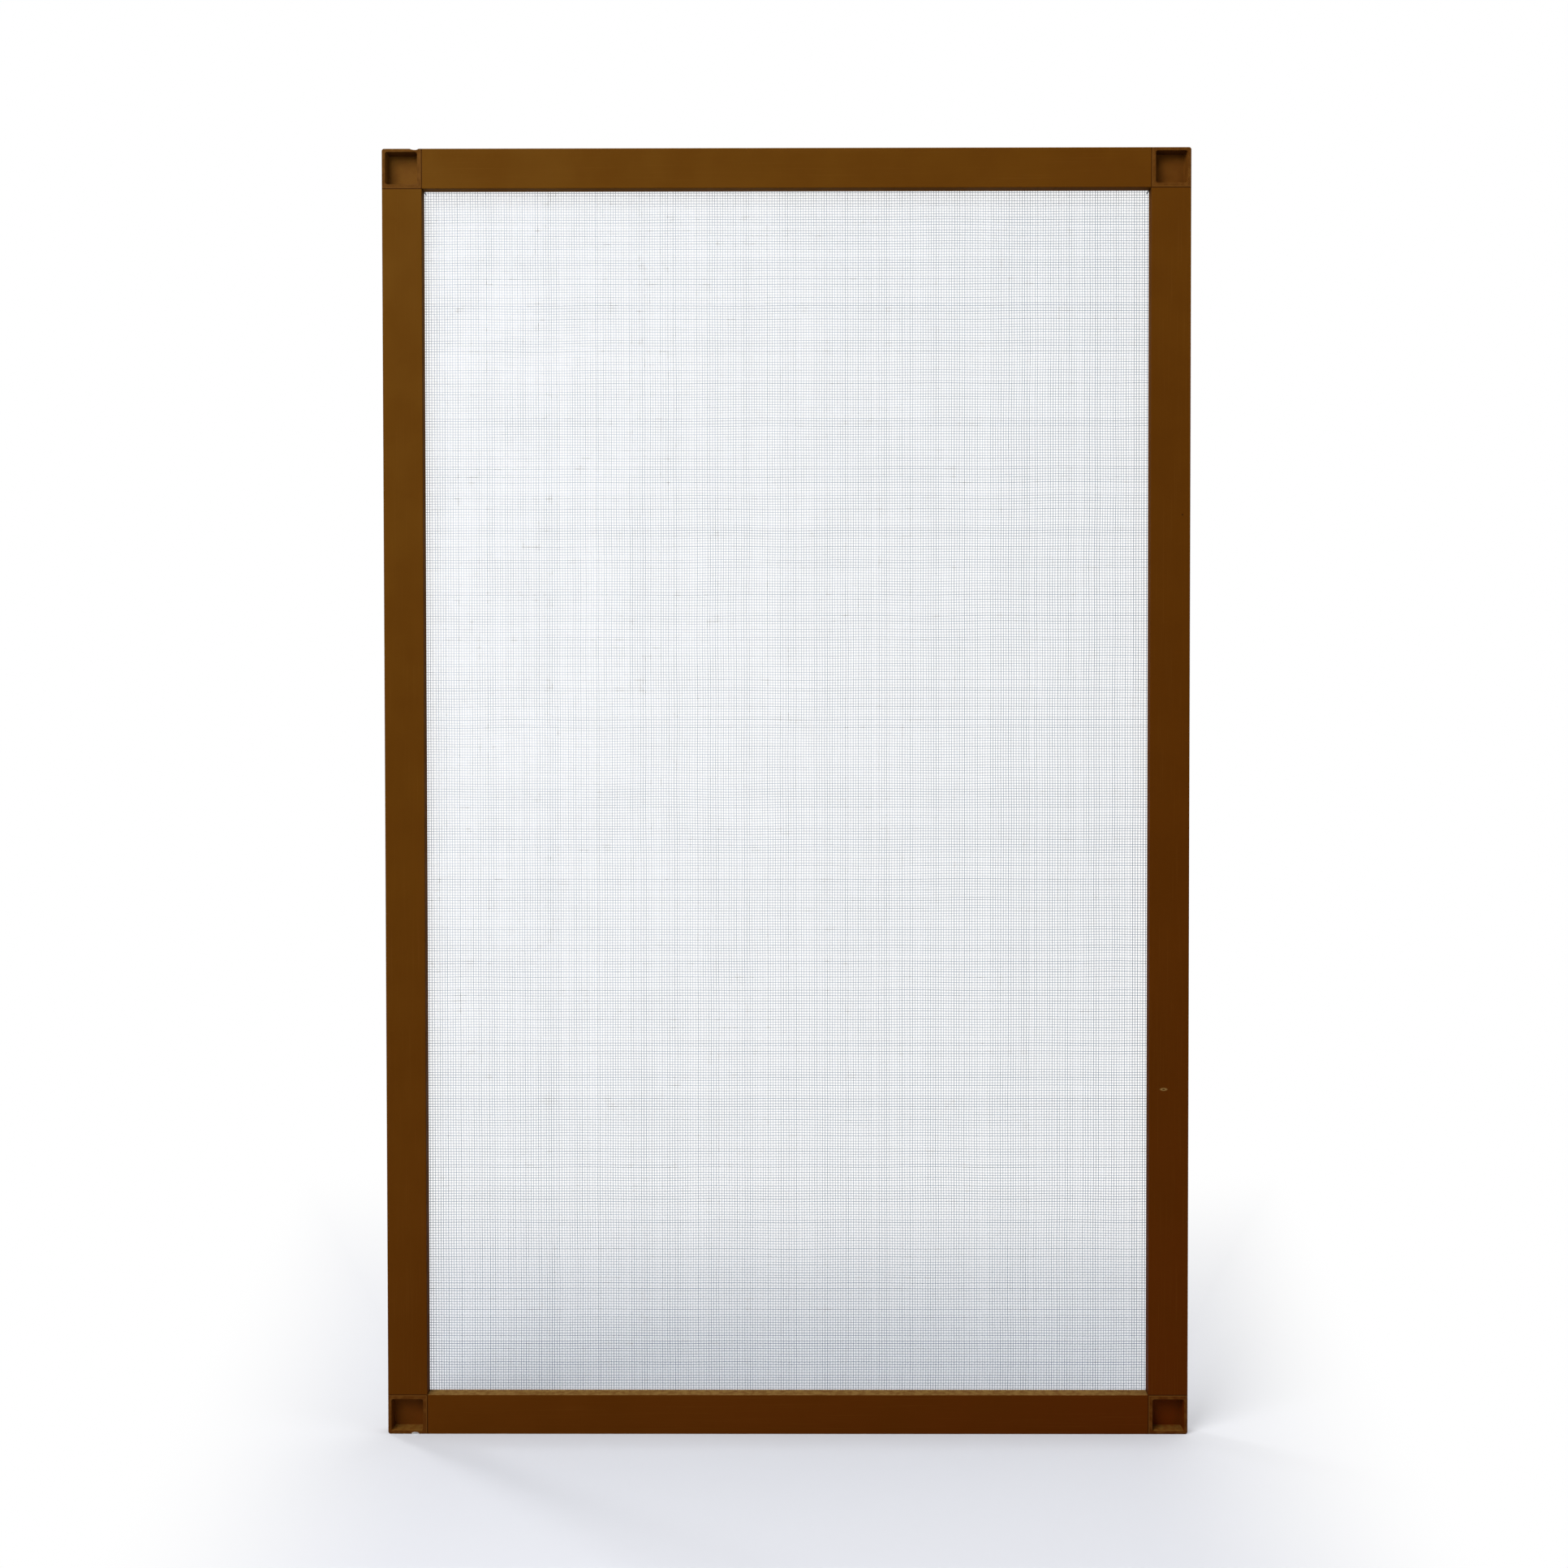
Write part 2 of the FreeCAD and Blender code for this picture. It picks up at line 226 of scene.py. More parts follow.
@dataclass(frozen=True)
class Finish:
    """A finish on one material: what every one of them shares."""

    name: str
    colour: str
    roughness: float
    specular: float

    def material(self) -> bpy.types.Material:
        """Makes the material.

        Returns:
            The material, with its nodes.
        """
        made = bpy.data.materials.new(self.name)
        made.use_nodes = True
        tree = made.node_tree
        colour, roughness, normal = self.dress(tree, add(tree, "TexCoord").outputs["Object"])
        for name, source in {"Base Color": colour, "Roughness": roughness, "Normal": normal,
                             "Specular IOR Level": self.specular}.items():
            feed(tree, source, tree.nodes["Principled BSDF"].inputs[name])
        return made

    def dress(self, tree: bpy.types.NodeTree, place: bpy.types.NodeSocket) -> tuple[bpy.types.Node, ...]:
        """Adds the finish's own nodes.

        Args:
            tree: The material's node tree.
            place: The point on the object in metres.

        Returns:
            The nodes that give the colour, the roughness and the normal.
        """
        raise NotImplementedError

    def layered(self, tree: bpy.types.NodeTree, under: Any, layers: list[tuple[Any, str]]) -> bpy.types.Node:
        """Lays colours over one another.

        Args:
            tree: The material's node tree.
            under: The lowest colour.
            layers: From the lowest to the uppermost, how much of each shows, and its hex colour.

        Returns:
            The mixed colour.
        """
        for share, over in layers:
            under = add(tree, "Mix", {0: share, 6: under, 7: linear(over)}, data_type="RGBA")
        return under

    def away_from(self, tree: bpy.types.NodeTree, value: bpy.types.NodeSocket, middle: float) -> bpy.types.Node:
        """Adds how far a coordinate is from a middle, to either side.

        Args:
            tree: The material's node tree.
            value: A coordinate in metres.
            middle: The middle in metres.

        Returns:
            The distance in metres.
        """
        return add(tree, "Math", (add(tree, "Math", (value, middle), operation="SUBTRACT"),), operation="ABSOLUTE")

    def painted_light_gradient(self, tree: bpy.types.NodeTree, split: bpy.types.Node, lit_tint: str) -> bpy.types.Node:
        """Adds painted light: yellower and paler towards the head and the left side, as if lit more there.

        Args:
            tree: The material's node tree.
            split: The node that gives the point's coordinates one by one.
            lit_tint: The colour where the painted light is strongest.

        Returns:
            The colour, from the finish's own at the foot on the right to the painted lit one.
        """
        upward = add(tree, "MapRange", (split.outputs["Z"], 0, HEIGHT, 0, 0.65))
        leftward = add(tree, "MapRange", (split.outputs["X"], HALF_WIDTH, -HALF_WIDTH, 0, 0.35))
        painted_light = add(tree, "Math", (upward, leftward), operation="ADD")
        return self.layered(tree, linear(self.colour), [(painted_light, lit_tint)])

    def facing(self, tree: bpy.types.NodeTree, way: int) -> bpy.types.Node:
        """Adds which faces look up, or down.

        Args:
            tree: The material's node tree.
            way: 1 for up, -1 for down.

        Returns:
            1 on those faces, 0 on upright ones.
        """
        normal = add(tree, "SeparateXYZ", (add(tree, "NewGeometry").outputs["Normal"],))
        return add(tree, "MapRange", (normal.outputs["Z"], 0.5 * way, 0.95 * way), **SMOOTH)

    def settled_dust_and_light(self, tree: bpy.types.NodeTree, place: bpy.types.NodeSocket, least: float,
                most: float) -> bpy.types.Node:
        """Adds house dust on the faces that look up, in patches of 3 mm, with painted light: these faces are paler,
        as if lit from above.

        Args:
            tree: The material's node tree.
            place: The point on the object in metres.
            least: How much lies in the thin patches.
            most: How much lies in the thick patches.

        Returns:
            How much of the dust and the painted light shows.
        """
        patches = add(tree, "TexNoise", {"Vector": place, "Scale": 1 / (3 * MM), "Detail": 4})
        lying = add(tree, "MapRange", (patches, 0.3, 0.7, least, most), **SMOOTH)
        return add(tree, "Math", (self.facing(tree, 1), lying), operation="MULTIPLY")

    def spot(self, tree: bpy.types.NodeTree, place: bpy.types.NodeSocket, centre: tuple[float, float, float],
             reach: tuple[float, float, float], soft: float) -> bpy.types.Node:
        """Adds an oval mark: 1 inside, 0 past its edge.

        Args:
            tree: The material's node tree.
            place: The point on the object in metres.
            centre: The mark's middle in metres.
            reach: Half its size along x, y and z in metres.
            soft: Share of its radius over which it fades.

        Returns:
            The mark.
        """
        inside = add(tree, "Mapping", {"Vector": place, "Location": centre, "Scale": reach}, vector_type="TEXTURE")
        length = add(tree, "VectorMath", (inside,), operation="LENGTH")
        return add(tree, "MapRange", (length, 1 - soft, 1, 1, 0), **SMOOTH)


@dataclass(frozen=True)
class PowderCoat(Finish):
    """Baked polyester powder on extruded aluminium.

    Sprayed on dry and baked, it shows a satin skin with the shallow ripple called orange peel, and
    the die's long fine lines show faintly through it.
    """

    run: Run = Run.LEVEL
    # the colour of the painted light, paler and yellower towards the head and the left
    lit_tint: str = "#5c3a09"
    worn: str = "#7d5526"
    dull: str = "#482300"
    # painted shade with dirt in the joints
    shade_and_grime: str = "#2e1103"
    # dust with painted light on faces that look up
    dust_and_light: str = "#866736"
    scuffed: str = "#86683a"
    scuff_core: str = "#3a1c02"
    nicked: str = "#2c1402"
    ripple: float = 0.9 * MM
    lines: float = 0.35 * MM
    cloud: float = 42 * MM
    # how many times longer than apart the die lines are
    drawn: float = 160.0
    # the oval rub on the right upright, and a small nick higher up
    scuff_at: tuple[float, float, float] = (238.2 * MM, FRONT, 220 * MM)
    nick_at: tuple[float, float, float] = (249 * MM, FRONT, 583 * MM)

    def dress(self, tree: bpy.types.NodeTree, place: bpy.types.NodeSocket) -> tuple[bpy.types.Node, ...]:
        """Adds painted light towards the head and the left, clouding, die lines, orange peel, handling marks,
        painted shade with dirt in the joints, dust with painted light on faces that look up, and worn edges.

        Args:
            tree: The material's node tree.
            place: The point on the object in metres.

        Returns:
            The nodes that give the colour, the roughness and the normal.
        """
        split = add(tree, "SeparateXYZ", (place,))
        level = self.run is Run.LEVEL
        stretch = (1 / self.drawn, 1, 1) if level else (1, 1, 1 / self.drawn)
        along = add(tree, "Mapping", {"Vector": place, "Scale": stretch})
        die_lines = add(tree, "TexNoise", {"Vector": along, "Scale": 1 / self.lines, "Detail": 3})
        clouds = add(tree, "TexNoise", {"Vector": place, "Scale": 1 / self.cloud, "Detail": 3})
        # edges rubbed thin where the frame is handled: the outer front corner of each rail
        near_front = add(tree, "MapRange", (split.outputs["Y"], FRONT + 0.4 * MM, FRONT + 0.05 * MM), **SMOOTH)
        beside = self.away_from(tree, split.outputs["X"], 0)
        edge = add(tree, "MapRange", (beside, HALF_WIDTH - 0.5 * MM, HALF_WIDTH - 0.1 * MM), **SMOOTH)
        at_foot = add(tree, "MapRange", (split.outputs["Z"], 0.5 * MM, 0.1 * MM), **SMOOTH)
        at_head = add(tree, "MapRange", (split.outputs["Z"], HEIGHT - 0.5 * MM, HEIGHT - 0.1 * MM), **SMOOTH)
        blotch = add(tree, "TexNoise", {"Vector": place, "Scale": 1 / (7 * MM), "Detail": 4})
        patches = add(tree, "MapRange", (blotch, 0.45, 0.6, 0.1, 0.6), **SMOOTH)
        for other, how in ((at_foot, "MAXIMUM"), (at_head, "MAXIMUM"),
                           (near_front, "MULTIPLY"), (patches, "MULTIPLY")):
            edge = add(tree, "Math", (edge, other), operation=how)
        # painted shade of the narrow gap in the butt joint at each end of the rail, with dirt, a third of a
        # millimetre wide
        out = beside if level else self.away_from(tree, split.outputs["Z"], MIDDLE)
        end = (HALF_WIDTH if level else MIDDLE) - FACE
        # painted light: paler and yellower towards the head and the left side
        colour = self.layered(tree, self.painted_light_gradient(tree, split, self.lit_tint), [
            (add(tree, "MapRange", (clouds, 0.3, 0.75, 0, 0.3), **SMOOTH), self.dull),
            (add(tree, "MapRange", (die_lines, 0.55, 0.85, 0, 0.16), **SMOOTH), self.worn),
            # the rub is pale round a dark middle, 6 by 2.4 mm, and the nick is 1.4 mm across
            (self.spot(tree, place, self.scuff_at, (3 * MM, 4 * MM, 1.2 * MM), 0.6), self.scuffed),
            (self.spot(tree, place, self.scuff_at, (1.5 * MM, 4 * MM, 0.55 * MM), 0.7), self.scuff_core),
            (self.spot(tree, place, self.nick_at, (0.7 * MM, 4 * MM, 0.7 * MM), 0.6), self.nicked),
            (edge, self.worn),
            # dust with painted light: faces that look up are paler, as if lit from above
            (self.settled_dust_and_light(tree, place, 0.35, 0.85), self.dust_and_light),
            # painted shade with dirt in the butt joints
            (add(tree, "MapRange", (out, end - 0.5 * MM, end - 0.15 * MM, 0, 0.7), **SMOOTH), self.shade_and_grime),
        ])
        rough = add(tree, "MapRange", (clouds, 0.3, 0.7, self.roughness - 0.05, self.roughness + 0.08), **SMOOTH)
        # orange peel ripples are about 1 mm apart and 2 hundredths of a mm high
        peel = add(tree, "TexNoise", {"Vector": place, "Scale": 1 / self.ripple, "Detail": 1})
        rippled = add(tree, "Bump", {"Height": peel, "Strength": 0.35, "Distance": 0.03 * MM})
        scored = add(tree, "Bump", {"Height": die_lines, "Strength": 0.2, "Distance": 0.02 * MM, "Normal": rippled})
        return colour, rough, scored


@dataclass(frozen=True)
class MouldedNylon(Finish):
    """Glass-filled nylon, injection moulded in a spark-eroded mould.

    Its skin is an even fine matt grain, a little greyer than the coated rails, smoother on the rims
    where hands and the window channel rub it.
    """

    # the colour of the painted light, paler and yellower towards the head and the left
    lit_tint: str = "#6b4617"
    # paler colour of the grain and the rubbed rims, also of the painted highlight along the edges at the rails
    rubbed_and_highlight: str = "#6c461a"
    stained: str = "#482504"
    darker_rim: str = "#3c1e03"
    whitened: str = "#d8d3cc"
    # dust with painted light on faces that look up
    dust_and_light: str = "#7a5a26"
    # painted shade with dirt in the joints, and painted shade on faces that look down
    shade_and_grime: str = "#2e1103"
    spark: float = 0.28 * MM
    flow: float = 11 * MM
    # the plastic has gone white round the chip at the foot of the left block, 5 mm wide
    scar_at: tuple[float, float, float] = (-236.8 * MM, FRONT, 0.2 * MM)

    def dress(self, tree: bpy.types.NodeTree, place: bpy.types.NodeSocket) -> tuple[bpy.types.Node, ...]:
        """Adds painted light towards the head and the left, flow marks, spark grain, dust with painted light on
        faces that look up, painted shade on faces that look down and in the joints, a painted highlight along the
        edges at the rails, and darker rims rubbed paler in places.

        Args:
            tree: The material's node tree.
            place: The point on the object in metres.

        Returns:
            The nodes that give the colour, the roughness and the normal.
        """
        split = add(tree, "SeparateXYZ", (place,))
        flow = add(tree, "TexNoise", {"Vector": place, "Scale": 1 / self.flow, "Detail": 4})
        spark = add(tree, "TexNoise", {"Vector": place, "Scale": 1 / self.spark, "Detail": 2})
        on_rim = add(tree, "MapRange", (split.outputs["Y"], FRONT + 0.5 * MM, FRONT + 0.15 * MM), **SMOOTH)
        blotch = add(tree, "TexNoise", {"Vector": place, "Scale": 1 / (4 * MM), "Detail": 3})
        patches = add(tree, "MapRange", (blotch, 0.4, 0.65, 0.05, 0.4), **SMOOTH)
        # painted highlight: the two edges at the rails are a paler fine line, with painted shade and dirt in the
        # joint beyond it
        across, upward = (
            add(tree, "Math", (self.away_from(tree, split.outputs[way], middle), half - FACE), operation="SUBTRACT")
            for way, middle, half in (("X", 0, HALF_WIDTH), ("Z", MIDDLE, MIDDLE))
        )
        nearest = add(tree, "Math", (across, upward), operation="MINIMUM")
        line = add(tree, "MapRange", (nearest, 0.95 * MM, 0.7 * MM, 0, 0.6), **SMOOTH)
        painted_edge_highlight, thinned = (add(tree, "Math", (on_rim, other), operation="MULTIPLY") for other in (line, patches))
        rubbed_and_highlight = add(tree, "Math", (thinned, painted_edge_highlight), operation="MAXIMUM")
        # painted light: paler and yellower towards the head and the left side
        colour = self.layered(tree, self.painted_light_gradient(tree, split, self.lit_tint), [
            (add(tree, "MapRange", (flow, 0.35, 0.7, 0, 0.4), **SMOOTH), self.stained),
            (add(tree, "MapRange", (spark, 0.5, 0.8, 0, 0.25), **SMOOTH), self.rubbed_and_highlight),
            # dust with painted light: faces that look up are paler, as if lit from above
            (self.settled_dust_and_light(tree, place, 0.25, 0.6), self.dust_and_light),
            # painted shade: the cups' upper walls, which look down, are darker and redder
            (add(tree, "Math", (self.facing(tree, -1), 0.7), operation="MULTIPLY"), self.shade_and_grime),
            # the rims are darker, in places rubbed paler
            (add(tree, "Math", (on_rim, 0.55), operation="MULTIPLY"), self.darker_rim),
            # rubbed rims, with the painted highlight along the edges at the rails
            (rubbed_and_highlight, self.rubbed_and_highlight),
            # painted shade with dirt in the joints at the rails
            (add(tree, "MapRange", (nearest, 0.5 * MM, 0.15 * MM, 0, 0.7), **SMOOTH), self.shade_and_grime),
            (self.spot(tree, place, self.scar_at, (2.7 * MM, 6 * MM, 1.25 * MM), 0.3), self.whitened),
        ])
        rough = add(tree, "MapRange", (rubbed_and_highlight, 0, 0.5, self.roughness, self.roughness - 0.12), **SMOOTH)
        return colour, rough, add(tree, "Bump", {"Height": spark, "Strength": 0.4, "Distance": 0.03 * MM})


@dataclass(frozen=True)
class SoftVinyl(Finish):
    """Plasticised vinyl cord, extruded with small ribs.

    It is black and matt, with chalky grey wear on the crown of the ribs where the roller pressed.
    """

    chalk: str = "#4a4a4c"
    pit: float = 0.4 * MM
    # the ribs' crowns lie between these two distances behind the frame's middle
    crown: tuple[float, float] = (3.2 * MM, 3.8 * MM)

    def dress(self, tree: bpy.types.NodeTree, place: bpy.types.NodeSocket) -> tuple[bpy.types.Node, ...]:
        """Adds chalky crowns and a fine pitted skin.

        Args:
            tree: The material's node tree.
            place: The point on the object in metres.

        Returns:
            The nodes that give the colour, the roughness and the normal.
        """
        split = add(tree, "SeparateXYZ", (place,))
        pits = add(tree, "TexNoise", {"Vector": place, "Scale": 1 / self.pit, "Detail": 2})
        blotch = add(tree, "TexNoise", {"Vector": place, "Scale": 1 / (9 * MM), "Detail": 4})
        wear = add(tree, "MapRange", (blotch, 0.4, 0.7, 0, 0.8), **SMOOTH)
        on_crown = add(tree, "MapRange", (split.outputs["Y"], *self.crown), **SMOOTH)
        chalky = add(tree, "Math", (wear, on_crown), operation="MULTIPLY")
        colour = self.layered(tree, linear(self.colour), [(chalky, self.chalk)])
        rough = add(tree, "MapRange", (pits, 0.3, 0.7, self.roughness - 0.06, self.roughness + 0.06), **SMOOTH)
        return colour, rough, add(tree, "Bump", {"Height": pits, "Strength": 0.3, "Distance": 0.03 * MM})


@dataclass(frozen=True)
class CoatedGlassThread(Finish):
    """Glass fibre thread dipped in vinyl and heat set.

    The dip leaves a smooth grey skin whose thickness wanders along the thread, so some threads and
    some stretches are paler than others.
    """

    # paler colour of the threads' own tone and of the painted light towards the upper left
    pale: str = "#cbd3e0"
    dark: str = "#3b4754"
    skin: float = 0.6 * MM

    def dress(self, tree: bpy.types.NodeTree, place: bpy.types.NodeSocket) -> tuple[bpy.types.Node, ...]:
        """Adds thread to thread tone, painted light towards the upper left in patches, and an uneven skin.

        Args:
            tree: The material's node tree.
            place: The point on the object in metres.

        Returns:
            The nodes that give the colour, the roughness and the normal.
        """
        split = add(tree, "SeparateXYZ", (place,))
        tone = add(tree, "Attribute", attribute_name=TONE).outputs["Fac"]
        # painted light: the threads are paler towards the upper left, as if lit more there
        leftward = add(tree, "MapRange", (split.outputs["X"], 0.24, -0.16, 0, 0.7))
        upward = add(tree, "MapRange", (split.outputs["Z"], 0, 0.42), **SMOOTH)
        painted_light_upper_left = add(tree, "Math", (leftward, upward), operation="MULTIPLY")
        toned = add(tree, "Math", (tone, 0.4), operation="MULTIPLY")
        blotch = add(tree, "TexNoise", {"Vector": place, "Scale": 1 / (35 * MM), "Detail": 3})
        patches = add(tree, "MapRange", (blotch, 0.3, 0.7, 0.7, 1), **SMOOTH)
        # each thread's own tone with the painted light, in patches
        tone_and_painted_light = add(tree, "Math", (painted_light_upper_left, toned), operation="ADD")
        tone_and_painted_light = add(tree, "Math", (tone_and_painted_light, patches), operation="MULTIPLY")
        # stretches of 10 to 20 mm where the dip is thin and the thread shows dark
        streak = add(tree, "TexNoise", {"Vector": place, "Scale": 1 / (9 * MM), "Detail": 3})
        thin = add(tree, "MapRange", (streak, 0.6, 0.72, 0, 0.75), **SMOOTH)
        thin = add(tree, "Math", (thin, add(tree, "MapRange", (tone, 0.5, 0.1), **SMOOTH)), operation="MULTIPLY")
        colour = self.layered(tree, linear(self.colour), [(tone_and_painted_light, self.pale), (thin, self.dark)])
        skin = add(tree, "TexNoise", {"Vector": place, "Scale": 1 / self.skin, "Detail": 2})
        rough = add(tree, "MapRange", (skin, 0.3, 0.7, self.roughness - 0.08, self.roughness + 0.08), **SMOOTH)
        return colour, rough, add(tree, "Bump", {"Height": skin, "Strength": 0.3, "Distance": 0.03 * MM})


# Sub-assemblies


def dress_node(node: str, material: bpy.types.Material) -> None:
    """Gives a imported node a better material.

    Args:
        node: The node's name.
        material: What goes into all of its material slots.
    """
    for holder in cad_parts[node].material_slots:
        holder.material = material
    log.info("%s: packed shape, %s", node, material.name)


@dataclass
class Rails:
    """The four hollow rails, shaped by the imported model."""

    level: tuple[str, ...] = ("bottom_rail", "top_rail")
    upright: tuple[str, ...] = ("left_stile", "right_stile")

    def dress(self) -> None:
        """Coats each rail, with its die lines along its length."""
        for run, nodes in ((Run.LEVEL, self.level), (Run.UPRIGHT, self.upright)):
            coat = PowderCoat("powder_coat_" + run.value, "#4e2000", 0.55, 0.02, run).material()
            for node in nodes:
                dress_node(node, coat)


@dataclass
class Connectors:
    """The four moulded corner connectors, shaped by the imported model."""

    nodes: tuple[str, ...] = ("corner_bottom_left", "corner_top_left", "corner_top_right", "corner_bottom_right")

    def dress(self) -> None:
        """Gives each connector its moulded skin."""
        nylon = MouldedNylon("moulded_nylon", "#582100", 0.6, 0.02).material()
        for node in self.nodes:
            dress_node(node, nylon)


@dataclass(frozen=True)
class Opening:
    """The rectangle that the mesh is stretched over: half its width, and its lower and upper edge in metres."""

    half: float
    foot: float
    head: float

    @classmethod
    def packed(cls) -> "Opening":
        """Reads the opening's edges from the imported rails' boxes."""
        return cls(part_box("right_stile")[0][0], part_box("left_stile")[0][2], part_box("left_stile")[1][2])


@dataclass
class WovenScreen:
    """Plain woven mesh of coated thread, stretched over the lips and pressed into the grooves."""

    opening: Opening
    warp_pitch: float = 1.65 * MM
    weft_pitch: float = 1.69 * MM
    thread_radius: float = 0.165 * MM
    # the dip leaves one thread up to 15 hundredths thinner or thicker than another
    radius_spread: float = 0.3
    crimp: float = 0.22 * MM
    # over this last bit before the lips the weft runs flat
    flat_end: float = 1.6 * MM
    # how far the weave is pulled off its grid, how much of that each thread is off by itself, the
    # scale of the slow waves, and the strip beside the lips where the mesh is held
    wander: float = 0.12 * MM
    own_share: float = 0.35
    wave: float = 60 * MM
    held: float = 20 * MM
    panels: int = 5
    # how much of the sheet the threads themselves cover
    cover: float = 0.31
    # middle of the mesh from the opening's edge outwards and from the front face back, in mm: over
    # the lip, down its far side, under the cord and up the groove's other wall
    tuck: tuple[tuple[float, float], ...] = (
        (0.0, 9.14), (0.92, 9.14), (1.19, 8.88), (1.19, 4.62), (1.42, 4.39), (5.58, 4.39), (5.81, 4.62),
        (5.81, 6.2),
    )

    def __post_init__(self) -> None:
        """Sets where the threads lie, how they wander, and how long the way over the lip is."""
        random = np.random.default_rng(SEED)
        width, height = 2 * self.opening.half, self.opening.head - self.opening.foot
        self.warp_count = round(width / self.warp_pitch)
        self.weft_count = round(height / self.weft_pitch)
        self.warp_x = (np.arange(self.warp_count) + 0.5) * width / self.warp_count - self.opening.half
        self.weft_z = (np.arange(self.weft_count) + 0.5) * height / self.weft_count + self.opening.foot
        self.warp_x = self.warp_x + random.normal(0, self.own_share * self.wander, self.warp_count)
        self.weft_z = self.weft_z + random.normal(0, self.own_share * self.wander, self.weft_count)
        self.warp_tone = random.random(self.warp_count)
        self.weft_tone = random.random(self.weft_count)
        # eight slow waves across the sheet, 42 mm long or more, for each of the two directions
        steepest = 2 * math.pi / self.wave
        self.waves = [
            (random.uniform(-1, 1, 8) * steepest, random.uniform(-1, 1, 8) * steepest,
             random.uniform(0, 2 * math.pi, 8))
            for _ in range(2)
        ]
        tuck = np.array(self.tuck) * MM
        self.tuck_out, self.tuck_y = tuck[:, 0], tuck[:, 1] + FRONT
        self.tuck_run = np.concatenate([[0], np.cumsum(np.linalg.norm(np.diff(tuck, axis=0), axis=1))])
        self.middle_y = self.tuck_y[0]

    def drift(self, way: int, x: np.ndarray, z: np.ndarray) -> np.ndarray:
        """How far the weave is pulled off its grid.

        The sum of eight cosines of the point times a slow wave, faded to nothing at the opening's
        edges, where the lips hold the mesh.

        Args:
            way: 0 for the drift of warp threads along x, 1 for that of weft threads along z.
            x: Places across the opening in metres.
            z: Places up the opening in metres.

        Returns:
            The drift in metres at each place.
        """
        total = sum(np.cos(in_x * x + in_z * z + phase) for in_x, in_z, phase in zip(*self.waves[way]))
        side = np.clip((self.opening.half - np.abs(x)) / self.held, 0, 1)
        ends = np.clip(np.minimum(z - self.opening.foot, self.opening.head - z) / self.held, 0, 1)
        return self.wander * total / 2 * side * ends

    def weft_lines(self) -> np.ndarray:
        """Lines of the weft threads, which pass before one warp thread and behind the next.

        Along a thread, y is the mesh's middle plus the crimp times minus one to the power of the
        two thread numbers added up, faded to nothing at the lips. Past the opening's edge the line
        follows the tuck.

        Returns:
            The points, as (threads, nodes, 3).
        """
        x, z = np.meshgrid(self.warp_x, self.weft_z)
        sign = 1.0 - 2.0 * (np.add.outer(np.arange(self.weft_count), np.arange(self.warp_count)) % 2)
        room = np.clip((self.opening.half - np.abs(x)) / self.flat_end, 0, 1)
        inner = np.stack([x + self.drift(0, x, z), self.middle_y + self.crimp * sign * room,
                          z + self.drift(1, x, z)], axis=-1)
        shape = (self.weft_count, len(self.tuck_out))
        right = np.stack([np.broadcast_to(self.opening.half + self.tuck_out, shape),
                          np.broadcast_to(self.tuck_y, shape),
                          np.broadcast_to(self.weft_z[:, None], shape)], axis=-1)
        left = right[:, ::-1] * np.array([-1, 1, 1])
        return np.concatenate([left, inner, right], axis=1)

    def warp_lines(self, nodes: int = 46, inset: float = 0.4 * MM) -> np.ndarray:
        """Lines of the warp threads, which the stretch keeps almost straight.

        Args:
            nodes: Points on the part of each line inside the opening.
            inset: How far from the opening's edge the first and the last of them are.

        Returns:
            The points, as (threads, nodes, 3).
        """
        height = np.linspace(self.opening.foot + inset, self.opening.head - inset, nodes)
        x, z = np.meshgrid(self.warp_x, height, indexing="ij")
        inner = np.stack([x + self.drift(0, x, z), np.full(x.shape, self.middle_y), z], axis=-1)
        shape = (self.warp_count, len(self.tuck_out))
        across = np.broadcast_to(self.warp_x[:, None], shape)
        deep = np.broadcast_to(self.tuck_y, shape)
        head = np.stack([across, deep, np.broadcast_to(self.opening.head + self.tuck_out, shape)], axis=-1)
        foot = np.stack([across, deep, np.broadcast_to(self.opening.foot - self.tuck_out, shape)], axis=-1)
        return np.concatenate([foot[:, ::-1], inner, head], axis=1)

    def tucked_lines(self, nodes: int = 40, inset: float = 0.6 * MM) -> tuple[np.ndarray, np.ndarray]:
        """Lines of the threads that lie along the grooves, one pitch apart over the mesh's turned-in edges.

        Args:
            nodes: Points on each line.
            inset: How far before the opening's corners the lines end.

        Returns:
            The lines along the two uprights, and the lines along the two level rails.
        """
        stops = np.arange(0.5 * self.warp_pitch, self.tuck_run[-1], self.warp_pitch)
        out, deep = (np.interp(stops, self.tuck_run, way) for way in (self.tuck_out, self.tuck_y))
        up = np.linspace(self.opening.foot + inset, self.opening.head - inset, nodes)
        level = np.linspace(-self.opening.half + inset, self.opening.half - inset, nodes)
        shape = (len(out), nodes)
        at, y = np.broadcast_to(out[:, None], shape), np.broadcast_to(deep[:, None], shape)
        z, x = np.broadcast_to(up, shape), np.broadcast_to(level, shape)
        uprights = [np.stack([way * (self.opening.half + at), y, z], axis=-1) for way in (-1, 1)]
        levels = [np.stack([x, y, self.opening.foot - at], axis=-1),
                  np.stack([x, y, self.opening.head + at], axis=-1)]
        return np.concatenate(uprights), np.concatenate(levels)

